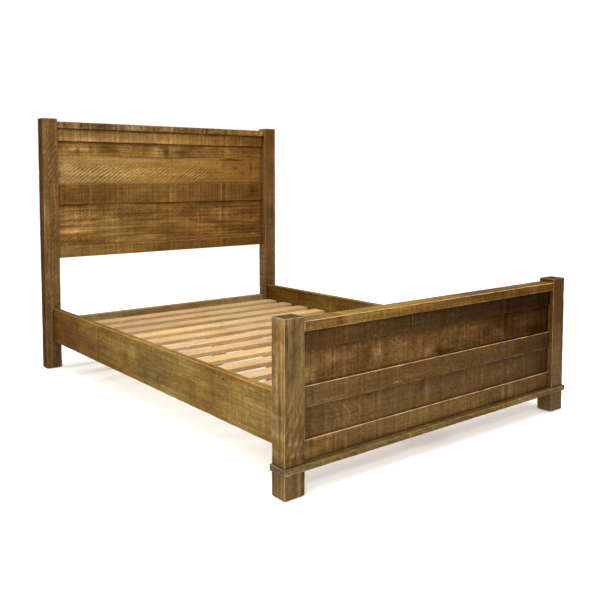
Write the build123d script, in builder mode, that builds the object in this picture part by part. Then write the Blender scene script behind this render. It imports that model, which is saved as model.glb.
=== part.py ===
from build123d import *
import os

# A queen-size bed frame in rough-sawn solid wood: a tall frame-and-panel headboard, a low
# frame-and-panel footboard with a thin band round its feet, two hooked side rails, a slatted
# base on ledgers, and a centre beam on three legs with screw feet.
#
# Frame: millimetres. The origin is on the floor, under the middle of the bed. +X is to the
# right seen from the foot end, +Y runs from the foot to the head, +Z is up.

os.makedirs("parts", exist_ok=True)

# ---------------------------------------------------------------- driving dimensions
bed_width = 1689.0  # outer face to outer face of the posts
post_length = 2213.0  # front of the foot posts to the back of the head posts
post_wide = 90.0  # X
post_deep = 70.0  # Y
head_post_top = 1442.0
foot_post_top = 621.0
post_ease = 3.0  # rounding of the posts' long edges
top_ease = 2.0  # chamfer round the posts' end grain
board_ease = 1.5  # rounding of the long edges of rails, slats and legs

band_thick = 8.0
band_low = 91.0
band_high = 113.5

tenon_long = 30.0
tenon_thick = 16.0
tenon_shoulder = 12.0
glue_space = 1.0

panel_thick = 18.0
panel_in_post = 12.0
panel_in_rail = 10.0
panel_play = 0.5
head_panel_recess = 40.0
foot_panel_recess = 24.0
tongue_thick = 6.0
tongue_high = 8.0

# name: (recess from the posts' front faces, thickness, lowest z, highest z)
head_rails = {
    "headboard_cap": (7.5, 60.5, 1389.5, 1427.0),
    "headboard_top_rail": (23.0, 45.0, 1316.5, 1389.5),
    "headboard_middle_rail": (27.0, 41.0, 947.0, 1067.0),
    "headboard_bottom_rail": (27.0, 41.0, 636.0, 699.0),
    "headboard_beam_rail": (20.0, 45.0, 140.0, 280.0),
}
foot_rails = {
    "footboard_cap": (0.0, 70.0, 568.5, 604.5),
    "footboard_top_rail": (14.5, 43.5, 499.0, 568.5),
    "footboard_middle_rail": (14.5, 43.5, 300.0, 376.0),
    "footboard_bottom_rail": (17.0, 41.0, 91.0, 187.0),
}
# name: (lowest visible z, highest visible z, how the lower edge is held, how the upper edge is)
head_panels = {
    "headboard_upper_board": (1229.0, 1316.5, "groove", "rail"),
    "headboard_centre_board": (1067.0, 1229.0, "rail", "tongue"),
    "headboard_lower_board_a": (817.0, 947.0, "groove", "rail"),
    "headboard_lower_board_b": (699.0, 817.0, "rail", "tongue"),
}
foot_panels = {
    "footboard_upper_panel": (376.0, 499.0, "rail", "rail"),
    "footboard_lower_panel": (187.0, 300.0, "rail", "rail"),
}

rail_inset = 39.5  # side rail's outer face behind the posts' outer faces
rail_thick = 32.0
rail_low = 159.0
rail_high = 350.0

ledger_wide = 25.0
ledger_high = 32.0
ledger_gap = 10.0  # clear of the posts at each end
slat_count = 13
slat_wide = 89.0
slat_thick = 19.0
slat_top = 250.0
slat_gap_end = 15.0  # first slat's edge to the post
slat_play = 2.0  # slat's end to the side rail

beam_wide = 38.0
beam_high = 90.0
beam_play = 1.0
leg_wide = 70.0
leg_deep = 58.0
leg_low = 20.0
leg_cheek_high = 60.0
leg_pitch = 518.0

plate_thick = 3.0
plate_wide = 22.0
plate_high = 150.0
hook_thick = 3.0
hook_root_high = 24.0
hook_drop = 8.0
hook_reach = 7.3
slot_wide = 4.0
slot_high = 34.0
pocket_wide = 8.0
pocket_deep = 10.0
pocket_high = 48.0
hook_bottoms = (22.0, -38.0)  # above and below the rail's middle height
plate_screw_heights = (66.0, 4.0, -60.0)

bracket_thick = 3.0
bracket_flange_wide = 80.0
bracket_high = 48.0
bracket_seat_long = 40.0
bracket_cheek_high = 35.0

stem_radius = 4.0
stem_clearance = 0.05
stem_top = 50.0
stem_hole_top = 62.0
pad_radius = 20.0
pad_high = 6.0
foot_nut_high = 5.0
foot_nut_across = 13.0
insert_long = 12.0
insert_radius = 5.5
insert_flange_radius = 11.0
insert_flange_thick = 1.5

glide_radius = 15.0
glide_thick = 3.0
glide_pin_radius = 1.5
glide_pin_long = 14.0

bolt_radius = 4.0
bolt_head_radius = 10.0
bolt_head_high = 4.5
bolt_nut_across = 13.0
bolt_nut_high = 8.0
bolt_flange_radius = 9.0
bolt_flange_thick = 2.0

screw_radius = 2.0
screw_head_radius = 4.0
screw_head_angle = 90.0
screw_fit = 0.05  # room round a screw in its hole
screw_sink = 0.1  # head below flush
plate_screw_long = 30.0
ledger_screw_long = 45.0
slat_screw_long = 42.0
bracket_screw_long = 28.0
cheek_screw_long = 14.0

brad_radius = 0.9
post_brad_long = 24.0  # through the band into a post
rail_brad_long = 45.0  # through the thicker middle of the band into the bottom rail
brad_pitch = 280.0

# ---------------------------------------------------------------- derived places
total_length = post_length + band_thick
foot_front = band_thick - total_length / 2
foot_back = foot_front + post_deep
head_back = total_length / 2
head_front = head_back - post_deep
post_outer = bed_width / 2
post_inner = post_outer - post_wide
post_middle = (post_outer + post_inner) / 2
foot_middle = foot_front + post_deep / 2
head_middle = head_front + post_deep / 2

rail_outer = post_outer - rail_inset
rail_inner = rail_outer - rail_thick
rail_middle = (rail_outer + rail_inner) / 2
rail_mid_z = (rail_low + rail_high) / 2

slat_low = slat_top - slat_thick
ledger_low = slat_low - ledger_high
ledger_middle = rail_inner - ledger_wide / 2
first_slat = foot_back + slat_gap_end + slat_wide / 2
last_slat = head_front - slat_gap_end - slat_wide / 2
slat_pitch = (last_slat - first_slat) / (slat_count - 1)
slat_places = [first_slat + slat_pitch * i for i in range(slat_count)]
ledger_screw_places = [slat_places[i] + slat_pitch / 2 for i in range(0, slat_count - 1, 2)]

beam_low = slat_low - beam_high
foot_rail_back = foot_front + sum(foot_rails["footboard_bottom_rail"][:2])
head_rail_front = head_front + head_rails["headboard_beam_rail"][0]
leg_top = beam_low + leg_cheek_high
leg_centre = (foot_back + head_front) / 2
leg_places = [leg_centre + leg_pitch * i for i in (-1, 0, 1)]
bolt_z = beam_low + leg_cheek_high / 2

bracket_low = beam_low - bracket_thick
bracket_screw_x = 31.0
bracket_screw_z = (beam_low + 9.0, beam_low + 28.0)
cheek_outer = beam_wide / 2 + bracket_thick
cheek_screw_z = beam_low + 16.0
cheek_screw_y = 26.0  # from the rail that the bracket is screwed to

hook_gap = plate_thick + 0.3  # hook's lip behind the post's plate


# ---------------------------------------------------------------- shared pieces
def save(piece, name):
    """Labels a finished piece and writes it as parts/NAME.step."""
    piece.part.label = name
    export_step(piece.part, f"parts/{name}.step")


def screw(length):
    """A countersunk wood screw on the Z axis, its head just under Z = 0 and its tip down."""
    shank = screw_radius - screw_fit
    head = screw_head_radius - screw_sink - screw_fit
    with BuildPart() as one:
        with BuildSketch(Plane.XZ):
            with BuildLine():
                Polyline(
                    (0, -screw_sink),
                    (head, -screw_sink),
                    (shank, shank - head - screw_sink),
                    (shank, 2 * shank - length),
                    (0, -length),
                    close=True,
                )
            make_face()
        revolve(axis=Axis.Z)
    return one.part


def screw_holes(places, length):
    """Cuts the countersunk holes of screws of that length at those places."""
    with Locations(*places):
        CounterSinkHole(screw_radius, screw_head_radius, length + glue_space, screw_head_angle)


def plain_holes(places, radius, depth):
    """Cuts straight holes, each along its place's own -Z."""
    with Locations(*places):
        Hole(radius, depth)


def facing(point, outward):
    """The place of a hole or screw at a point, with its head towards outward."""
    return Plane(origin=point, z_dir=outward).location


# ---------------------------------------------------------------- fastener places
sides = (-1, 1)
# each end of a side rail: (the rail end's y, direction into the post)
rail_ends = ((foot_back, -1), (head_front, 1))
# each end of the centre beam: (the rail face's y, direction towards the bed's middle)
beam_ends = ((foot_rail_back, 1), (head_rail_front, -1))


def post_plate_screws(side, end):
    """Screws that hold the slotted plate into a post, heads towards the side rail."""
    y, into_post = end
    heights = [rail_mid_z + z for z in plate_screw_heights]
    return [facing((side * rail_middle, y, z), (0, -into_post, 0)) for z in heights]


def hook_plate_screws(side, end):
    """Screws that hold the hook plate into a side rail's end, heads towards the post."""
    y, into_post = end
    heights = [rail_mid_z + z for z in plate_screw_heights]
    return [facing((side * rail_middle, y, z), (0, into_post, 0)) for z in heights]


def ledger_screws(side):
    x = side * (rail_inner - ledger_wide)
    z = ledger_low + ledger_high / 2
    return [facing((x, y, z), (-side, 0, 0)) for y in ledger_screw_places]


def slat_screws(y):
    return [facing((side * ledger_middle, y, slat_top), (0, 0, 1)) for side in sides]


def bracket_screws(end):
    """Four screws through the bracket's flanges into the rail behind it."""
    y, inward = end
    face = y + inward * bracket_thick
    spots = [(side * bracket_screw_x, face, z) for side in sides for z in bracket_screw_z]
    return [facing(spot, (0, inward, 0)) for spot in spots]


def cheek_screws(end):
    """A screw through each cheek of the bracket into the centre beam."""
    y = end[0] + end[1] * cheek_screw_y
    return [facing((side * cheek_outer, y, cheek_screw_z), (side, 0, 0)) for side in sides]


def post_brads(side):
    """Brads through the band into one foot post: two from the front, two from its side."""
    z = (band_low + band_high) / 2
    front = [(side * (post_middle + dx), foot_front - band_thick, z) for dx in (-22.0, 22.0)]
    flank = [(side * (post_outer + band_thick), foot_middle + dy, z) for dy in (-18.0, 18.0)]
    return [facing(p, (0, -1, 0)) for p in front], [facing(p, (side, 0, 0)) for p in flank]


def rail_brads():
    """A row of brads through the band into the footboard's bottom rail."""
    z = (band_low + band_high) / 2
    row = [(i * brad_pitch, foot_front - band_thick, z) for i in (-2, -1, 0, 1, 2)]
    return [facing(p, (0, -1, 0)) for p in row]


# ---------------------------------------------------------------- posts
def make_post(name, side, y_front, top, rails, panels, panel_recess, end):
    """One post: eased square stock with its mortises, panel grooves and plate housing."""
    with BuildPart() as post:
        with BuildSketch(Plane.XY.offset(glide_thick)):
            with Locations((side * post_middle, y_front + post_deep / 2)):
                Rectangle(post_wide, post_deep)
        extrude(amount=top - glide_thick)
        fillet(post.edges().filter_by(Axis.Z), post_ease)
        chamfer(post.edges().group_by(Axis.Z)[-1], top_ease)

        # mortises for the rails' tenons
        with BuildSketch(Plane.YZ.offset(side * post_inner)):
            for recess, thick, low, high in rails.values():
                with Locations((y_front + recess + thick / 2, (low + high) / 2)):
                    Rectangle(tenon_thick, high - low - 2 * tenon_shoulder)
        extrude(amount=side * (tenon_long + glue_space), mode=Mode.SUBTRACT)

        # grooves for the ends of the panels
        with BuildSketch(Plane.YZ.offset(side * post_inner)):
            for low, high, low_edge, high_edge in panels.values():
                bottom = low - (panel_in_rail if low_edge == "rail" else 0)
                summit = high + (panel_in_rail if high_edge == "rail" else 0)
                with Locations((y_front + panel_recess + panel_thick / 2, (bottom + summit) / 2)):
                    Rectangle(panel_thick, summit - bottom)
        extrude(amount=side * panel_in_post, mode=Mode.SUBTRACT)

        # housing for the slotted plate, and the pockets behind it for the hooks
        y_face, into_post = end
        x = side * rail_middle
        with Locations((x, y_face + into_post * plate_thick / 2, rail_mid_z)):
            Box(plate_wide, plate_thick, plate_high, mode=Mode.SUBTRACT)
        pocket_y = y_face + into_post * (plate_thick + pocket_deep / 2)
        for bottom in hook_bottoms:
            with Locations((x, pocket_y, rail_mid_z + bottom + hook_root_high / 2)):
                Box(pocket_wide, pocket_deep, pocket_high, mode=Mode.SUBTRACT)
        screw_holes(post_plate_screws(side, end), plate_screw_long)

        # pin hole for the glide
        foot = (side * post_middle, y_front + post_deep / 2, glide_thick)
        plain_holes([facing(foot, (0, 0, -1))], glide_pin_radius, glide_pin_long + glue_space)

        if end is rail_ends[0]:
            front, flank = post_brads(side)
            plain_holes(front + flank, brad_radius, post_brad_long + glue_space)
    save(post, name)


for side, word in ((-1, "left"), (1, "right")):
    make_post(
        f"head_post_{word}", side, head_front, head_post_top,
        head_rails, head_panels, head_panel_recess, rail_ends[1],
    )
    make_post(
        f"foot_post_{word}", side, foot_front, foot_post_top,
        foot_rails, foot_panels, foot_panel_recess, rail_ends[0],
    )


# ---------------------------------------------------------------- rails between the posts
def make_cross_rail(name, y_front, size, panels, panel_recess):
    """A rail with a tenon at each end and a groove along each edge that holds a panel."""
    recess, thick, low, high = size
    y = y_front + recess + thick / 2
    z = (low + high) / 2
    panel_y = y_front + panel_recess + panel_thick / 2
    bottoms = [p[0] for p in panels.values() if p[2] == "rail"]
    summits = [p[1] for p in panels.values() if p[3] == "rail"]
    grooves = [high - panel_in_rail / 2] if high in bottoms else []
    grooves += [low + panel_in_rail / 2] if low in summits else []
    with BuildPart() as rail:
        with BuildSketch(Plane.YZ):
            with Locations((y, z)):
                Rectangle(thick, high - low)
        extrude(amount=post_inner, both=True)
        fillet(rail.edges().filter_by(Axis.X), board_ease)
        with BuildSketch(Plane.YZ):
            with Locations((y, z)):
                Rectangle(tenon_thick, high - low - 2 * tenon_shoulder)
        extrude(amount=post_inner + tenon_long, both=True)
        for groove_z in grooves:
            with BuildSketch(Plane.YZ):
                with Locations((panel_y, groove_z)):
                    Rectangle(panel_thick, panel_in_rail)
            extrude(amount=post_inner, both=True, mode=Mode.SUBTRACT)
        if name == "footboard_bottom_rail":
            plain_holes(rail_brads(), brad_radius, rail_brad_long + glue_space)
            screw_holes(bracket_screws(beam_ends[0]), bracket_screw_long)
        if name == "headboard_beam_rail":
            screw_holes(bracket_screws(beam_ends[1]), bracket_screw_long)
    save(rail, name)


for name, size in head_rails.items():
    make_cross_rail(name, head_front, size, head_panels, head_panel_recess)
for name, size in foot_rails.items():
    make_cross_rail(name, foot_front, size, foot_panels, foot_panel_recess)


# ---------------------------------------------------------------- panels
def make_panel(name, y_front, size):
    """A loose board held in grooves, or tongued into the board above it."""
    low, high, low_edge, high_edge = size
    bottom = low - (panel_in_rail - panel_play if low_edge == "rail" else 0)
    summit = high + (panel_in_rail - panel_play if high_edge == "rail" else 0)
    half = post_inner + panel_in_post - panel_play
    y = y_front + panel_thick / 2
    with BuildPart() as panel:
        with BuildSketch(Plane.YZ):
            with Locations((y, (bottom + summit) / 2)):
                Rectangle(panel_thick, summit - bottom)
            if high_edge == "tongue":
                with Locations((y, high + (tongue_high - panel_play) / 2)):
                    Rectangle(tongue_thick, tongue_high - panel_play)
            if low_edge == "groove":
                with Locations((y, low + tongue_high / 2)):
                    Rectangle(tongue_thick, tongue_high, mode=Mode.SUBTRACT)
        extrude(amount=half, both=True)
    save(panel, name)


for name, size in head_panels.items():
    make_panel(name, head_front + head_panel_recess, size)
for name, size in foot_panels.items():
    make_panel(name, foot_front + foot_panel_recess, size)


# ---------------------------------------------------------------- band round the feet
band_front_y = foot_front - band_thick
band_back_y = foot_front + foot_rails["footboard_bottom_rail"][0]
band_outer = post_outer + band_thick

with BuildPart() as band_front:
    with BuildSketch(Plane.XY.offset(band_low)):
        with BuildLine():
            Polyline(
                (0, band_front_y),
                (band_outer, band_front_y),
                (post_outer, foot_front),
                (post_inner, foot_front),
                (post_inner, band_back_y),
                (0, band_back_y),
                close=True,
            )
        make_face()
        mirror(about=Plane.YZ)
    extrude(amount=band_high - band_low)
    plain_holes(post_brads(-1)[0] + post_brads(1)[0], brad_radius, post_brad_long)
    plain_holes(rail_brads(), brad_radius, rail_brad_long)
save(band_front, "band_front")

for side, word in ((-1, "left"), (1, "right")):
    with BuildPart() as band_return:
        with BuildSketch(Plane.XY.offset(band_low)):
            with BuildLine():
                Polyline(
                    (side * post_outer, foot_front),
                    (side * band_outer, band_front_y),
                    (side * band_outer, foot_back),
                    (side * post_outer, foot_back),
                    close=True,
                )
            make_face()
        extrude(amount=band_high - band_low)
        plain_holes(post_brads(side)[1], brad_radius, post_brad_long)
    save(band_return, f"band_return_{word}")


def save_brads(places, length, name):
    """One headless brad at each place, as one node."""
    with BuildPart() as brads:
        for place in places:
            with BuildSketch(Plane(place)):
                Circle(brad_radius - screw_fit)
            extrude(amount=-length)
    save(brads, name)


short_brads = [place for side in sides for run in post_brads(side) for place in run]
save_brads(short_brads, post_brad_long, "band_brads_short")
save_brads(rail_brads(), rail_brad_long, "band_brads_long")

# ---------------------------------------------------------------- side rails and ledgers
for side, word in ((-1, "left"), (1, "right")):
    with BuildPart() as side_rail:
        with BuildSketch(Plane.XZ.offset(-foot_back)):
            with Locations((side * rail_middle, rail_mid_z)):
                Rectangle(rail_thick, rail_high - rail_low)
        extrude(amount=foot_back - head_front)
        fillet(side_rail.edges().filter_by(Axis.Y), board_ease)
        for end in rail_ends:
            with Locations((side * rail_middle, end[0] - end[1] * plate_thick / 2, rail_mid_z)):
                Box(plate_wide, plate_thick, plate_high, mode=Mode.SUBTRACT)
            screw_holes(hook_plate_screws(side, end), plate_screw_long)
        screw_holes(ledger_screws(side), ledger_screw_long)
    save(side_rail, f"side_rail_{word}")

    with BuildPart() as ledger:
        with BuildSketch(Plane.XZ.offset(-foot_back - ledger_gap)):
            with Locations((side * ledger_middle, ledger_low + ledger_high / 2)):
                Rectangle(ledger_wide, ledger_high)
        extrude(amount=foot_back - head_front + 2 * ledger_gap)
        screw_holes(ledger_screws(side), ledger_screw_long)
        for y in slat_places:
            screw_holes(slat_screws(y), slat_screw_long)
    save(ledger, f"ledger_{word}")

# ---------------------------------------------------------------- rail hooks and post plates
with BuildPart() as rail_hook_plates:
    for side in sides:
        for y_end, into_post in rail_ends:
            x = side * rail_middle
            with Locations((x, y_end - into_post * plate_thick / 2, rail_mid_z)):
                Box(plate_wide, plate_thick, plate_high)
            with BuildSketch(Plane.YZ.offset(x)):
                for bottom in hook_bottoms:
                    z = rail_mid_z + bottom
                    with BuildLine():
                        Polyline(
                            (y_end - into_post * plate_thick / 2, z),
                            (y_end + into_post * hook_gap, z),
                            (y_end + into_post * hook_gap, z - hook_drop),
                            (y_end + into_post * hook_reach, z - hook_drop),
                            (y_end + into_post * hook_reach, z + hook_root_high),
                            (y_end - into_post * plate_thick / 2, z + hook_root_high),
                            close=True,
                        )
                    make_face()
            extrude(amount=hook_thick / 2, both=True)
            screw_holes(hook_plate_screws(side, (y_end, into_post)), plate_screw_long)
save(rail_hook_plates, "rail_hook_plates")

with BuildPart() as post_slot_plates:
    for side in sides:
        for y_end, into_post in rail_ends:
            x = side * rail_middle
            y = y_end + into_post * plate_thick / 2
            with Locations((x, y, rail_mid_z)):
                Box(plate_wide, plate_thick, plate_high)
            for bottom in hook_bottoms:
                with Locations((x, y, rail_mid_z + bottom + slot_high / 2)):
                    Box(slot_wide, plate_thick, slot_high, mode=Mode.SUBTRACT)
            screw_holes(post_plate_screws(side, (y_end, into_post)), plate_screw_long)
save(post_slot_plates, "post_slot_plates")

plate_screw = screw(plate_screw_long)
with BuildPart() as plate_screws:
    for side in sides:
        for end in rail_ends:
            with Locations(*hook_plate_screws(side, end), *post_plate_screws(side, end)):
                add(plate_screw)
save(plate_screws, "plate_screws")

# ---------------------------------------------------------------- slats
for number, y in enumerate(slat_places, start=1):
    with BuildPart() as slat:
        with BuildSketch(Plane.YZ):
            with Locations((y, slat_top - slat_thick / 2)):
                Rectangle(slat_wide, slat_thick)
        extrude(amount=rail_inner - slat_play, both=True)
        fillet(slat.edges().filter_by(Axis.X), board_ease)
        screw_holes(slat_screws(y), slat_screw_long)
    save(slat, f"slat_{number:02d}")

slat_screw = screw(slat_screw_long)
with BuildPart() as slat_screw_set:
    for y in slat_places:
        with Locations(*slat_screws(y)):
            add(slat_screw)
save(slat_screw_set, "slat_screws")

ledger_screw = screw(ledger_screw_long)
with BuildPart() as ledger_screw_set:
    with Locations(*ledger_screws(-1), *ledger_screws(1)):
        add(ledger_screw)
save(ledger_screw_set, "ledger_screws")

# ---------------------------------------------------------------- centre beam and its brackets
beam_foot = foot_rail_back + bracket_thick + beam_play
beam_head = head_rail_front - bracket_thick - beam_play

with BuildPart() as centre_beam:
    with BuildSketch(Plane.XZ.offset(-beam_foot)):
        with Locations((0, beam_low + beam_high / 2)):
            Rectangle(beam_wide, beam_high)
    extrude(amount=beam_foot - beam_head)
    for end in beam_ends:
        screw_y = end[0] + end[1] * cheek_screw_y
        for side in sides:
            spot = (side * beam_wide / 2, screw_y, cheek_screw_z)
            plain_holes([facing(spot, (side, 0, 0))], screw_radius, cheek_screw_long)
    bolt_holes = [facing((beam_wide / 2, y, bolt_z), (1, 0, 0)) for y in leg_places]
    plain_holes(bolt_holes, bolt_radius, beam_wide)
save(centre_beam, "centre_beam")

for end, word in zip(beam_ends, ("foot", "head")):
    y_rail, inward = end
    with BuildPart() as bracket:
        with Locations((0, y_rail + inward * bracket_thick / 2, bracket_low + bracket_high / 2)):
            Box(bracket_flange_wide, bracket_thick, bracket_high)
        seat_y = y_rail + inward * bracket_seat_long / 2
        with Locations((0, seat_y, bracket_low + bracket_thick / 2)):
            Box(2 * cheek_outer, bracket_seat_long, bracket_thick)
        for side in sides:
            x = side * (cheek_outer - bracket_thick / 2)
            with Locations((x, seat_y, bracket_low + bracket_cheek_high / 2)):
                Box(bracket_thick, bracket_seat_long, bracket_cheek_high)
        screw_holes(bracket_screws(end), bracket_screw_long)
        screw_holes(cheek_screws(end), bracket_thick)
    save(bracket, f"beam_bracket_{word}")

bracket_screw = screw(bracket_screw_long)
cheek_screw = screw(cheek_screw_long)
with BuildPart() as bracket_screw_set:
    for end in beam_ends:
        with Locations(*bracket_screws(end)):
            add(bracket_screw)
        with Locations(*cheek_screws(end)):
            add(cheek_screw)
save(bracket_screw_set, "bracket_screws")

# ---------------------------------------------------------------- centre legs
for number, y in enumerate(leg_places, start=1):
    with BuildPart() as leg:
        with BuildSketch(Plane.XY.offset(leg_low)):
            with Locations((0, y)):
                Rectangle(leg_wide, leg_deep)
        extrude(amount=leg_top - leg_low)
        fillet(leg.edges().filter_by(Axis.Z), board_ease)
        with Locations((0, y, beam_low + leg_cheek_high / 2)):
            Box(beam_wide, leg_deep, leg_cheek_high, mode=Mode.SUBTRACT)
        under = facing((0, y, leg_low), (0, 0, -1))
        plain_holes([under], insert_radius, insert_long)
        plain_holes([under], stem_radius + 1.0, stem_hole_top - leg_low)
        plain_holes([facing((leg_wide / 2, y, bolt_z), (1, 0, 0))], bolt_radius, leg_wide)
    save(leg, f"centre_leg_{number}")

with BuildPart() as leg_bolts:
    for y in leg_places:
        with BuildSketch(Plane.YZ.offset(-leg_wide / 2)):
            with Locations((y, bolt_z)):
                Circle(bolt_radius - screw_fit)
        extrude(amount=leg_wide + bolt_nut_high + bolt_flange_thick)
        with BuildSketch(Plane.YZ.offset(-leg_wide / 2)):
            with Locations((y, bolt_z)):
                Circle(bolt_head_radius)
        extrude(amount=-bolt_head_high, taper=35.0)
save(leg_bolts, "leg_bolts")

with BuildPart() as leg_bolt_nuts:
    for y in leg_places:
        with BuildSketch(Plane.YZ.offset(leg_wide / 2)):
            with Locations((y, bolt_z)):
                Circle(bolt_flange_radius)
        extrude(amount=bolt_flange_thick)
        with BuildSketch(Plane.YZ.offset(leg_wide / 2)):
            with Locations((y, bolt_z)):
                RegularPolygon(bolt_nut_across / 2, 6, major_radius=False)
        extrude(amount=bolt_nut_high)
        nut_face = facing((leg_wide / 2 + bolt_nut_high, y, bolt_z), (1, 0, 0))
        plain_holes([nut_face], bolt_radius, bolt_nut_high)
save(leg_bolt_nuts, "leg_bolt_nuts")

# ---------------------------------------------------------------- screw feet and their inserts
with BuildPart() as foot_inserts:
    for y in leg_places:
        with BuildSketch(Plane.XY.offset(leg_low)):
            with Locations((0, y)):
                Circle(insert_radius)
        extrude(amount=insert_long)
        with BuildSketch(Plane.XY.offset(leg_low)):
            with Locations((0, y)):
                Circle(insert_flange_radius)
        extrude(amount=-insert_flange_thick)
        mouth = facing((0, y, leg_low - insert_flange_thick), (0, 0, -1))
        bore = stem_radius + stem_clearance
        plain_holes([mouth], bore, insert_long + insert_flange_thick)
save(foot_inserts, "foot_inserts")

for number, y in enumerate(leg_places, start=1):
    with BuildPart() as foot:
        with BuildSketch(Plane.XY):
            with Locations((0, y)):
                Circle(pad_radius)
        extrude(amount=pad_high)
        fillet(foot.edges().group_by(Axis.Z)[-1], 1.5)
        with BuildSketch(Plane.XY.offset(pad_high)):
            with Locations((0, y)):
                RegularPolygon(foot_nut_across / 2, 6, major_radius=False)
        extrude(amount=foot_nut_high)
        with BuildSketch(Plane.XY.offset(pad_high)):
            with Locations((0, y)):
                Circle(stem_radius)
        extrude(amount=stem_top - pad_high)
        chamfer(foot.edges().group_by(Axis.Z)[-1], 0.8)
    save(foot, f"screw_foot_{number}")

# ---------------------------------------------------------------- glides under the posts
with BuildPart() as post_glides:
    for side in sides:
        for y in (foot_middle, head_middle):
            with BuildSketch(Plane.XY):
                with Locations((side * post_middle, y)):
                    Circle(glide_radius)
            extrude(amount=glide_thick)
            with BuildSketch(Plane.XY.offset(glide_thick)):
                with Locations((side * post_middle, y)):
                    Circle(glide_pin_radius - screw_fit)
            extrude(amount=glide_pin_long)
save(post_glides, "post_glides")
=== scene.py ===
import math

import bpy
import numpy as np
from mathutils import Matrix, Vector


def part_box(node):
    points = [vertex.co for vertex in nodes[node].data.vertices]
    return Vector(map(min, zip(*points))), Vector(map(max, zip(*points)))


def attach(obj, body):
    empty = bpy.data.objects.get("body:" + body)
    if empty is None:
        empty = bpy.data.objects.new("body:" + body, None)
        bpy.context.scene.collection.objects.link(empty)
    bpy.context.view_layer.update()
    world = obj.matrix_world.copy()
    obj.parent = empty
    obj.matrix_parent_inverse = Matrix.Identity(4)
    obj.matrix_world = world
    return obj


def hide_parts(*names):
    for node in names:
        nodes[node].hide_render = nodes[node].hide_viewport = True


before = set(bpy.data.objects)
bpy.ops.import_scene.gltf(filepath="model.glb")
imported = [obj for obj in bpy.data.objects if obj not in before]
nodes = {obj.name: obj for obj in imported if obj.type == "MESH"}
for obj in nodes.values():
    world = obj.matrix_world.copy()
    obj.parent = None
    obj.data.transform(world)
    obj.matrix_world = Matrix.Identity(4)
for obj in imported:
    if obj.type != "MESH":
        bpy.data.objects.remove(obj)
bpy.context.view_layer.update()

# The wooden bed frame's looks. Every visible board of the headboard, footboard, side rails and
# band is a fine mesh of its own, with worn edges and a slightly uneven sawn surface, in place of
# its plain CAD node. The slatted base and the hardware keep their CAD shapes and get materials.

MM = 0.001
X, Y, Z = 0, 1, 2

# ---------------------------------------------------------------- places read from the frame
foot_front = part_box("foot_post_left")[0].y
foot_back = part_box("foot_post_left")[1].y
head_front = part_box("head_post_left")[0].y
post_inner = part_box("foot_post_right")[0].x
post_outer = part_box("foot_post_right")[1].x
tuck = 0.6 * MM  # how far a board runs into its neighbour, so that no light shows between them


# ---------------------------------------------------------------- mesh of one board
def ripple(points, wavelength, rng, waves=7):
    """Smooth seeded noise between about -1 and 1 at each point: a few plane waves added up."""
    total = np.zeros(len(points))
    for _ in range(waves):
        direction = rng.normal(size=3)
        direction /= np.linalg.norm(direction)
        turn = 2 * math.pi / (wavelength * rng.uniform(0.65, 1.7))
        total += np.sin(points @ direction * turn + rng.uniform(0, 2 * math.pi))
    return total / math.sqrt(waves) / 1.3


def stations(low, high, edge, cell, extra=()):
    """Where a board's grid lines cross one axis: close together at the edges, cell apart between."""
    near = [0.0, 0.3 * edge, edge, 2.2 * edge]
    room = high - low - 2 * near[-1]
    count = max(1, round(room / cell))
    middle = [low + near[-1] + room * i / count for i in range(1, count)]
    ends = [low + d for d in near] + [high - d for d in near]
    return np.array(sorted({round(v, 6) for v in [*ends, *middle, *extra]}))


def shell(xs, ys, zs):
    """Corner points and quads of a box's surface, cut by the grid lines xs, ys and zs."""
    counts = (len(xs), len(ys), len(zs))
    grid = np.arange(counts[0] * counts[1] * counts[2]).reshape(counts)
    quads = []
    for axis in (X, Y, Z):
        for end in (0, -1):
            side = np.take(grid, end, axis=axis)
            if (end == -1) == (axis == Y):
                side = side.T
            a, b, c, d = side[:-1, :-1], side[:-1, 1:], side[1:, 1:], side[1:, :-1]
            quads.append(np.stack([a, b, c, d], axis=-1).reshape(-1, 4))
    quads = np.concatenate(quads)
    used, index = np.unique(quads, return_inverse=True)
    i, j, k = np.unravel_index(used, counts)
    return np.stack([xs[i], ys[j], zs[k]], axis=-1), index.reshape(-1, 4)


def spots(places, plane, marks):
    """Soft oval marks added up. Each is (place, place, half size, half size, strength), in mm."""
    total = np.zeros(len(places))
    for first, second, half_first, half_second, strength in marks:
        a = (places[:, plane[0]] / MM - first) / half_first
        b = (places[:, plane[1]] / MM - second) / half_second
        total += strength * np.exp(-((a * a + b * b) ** 1.3))
    return total


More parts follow.
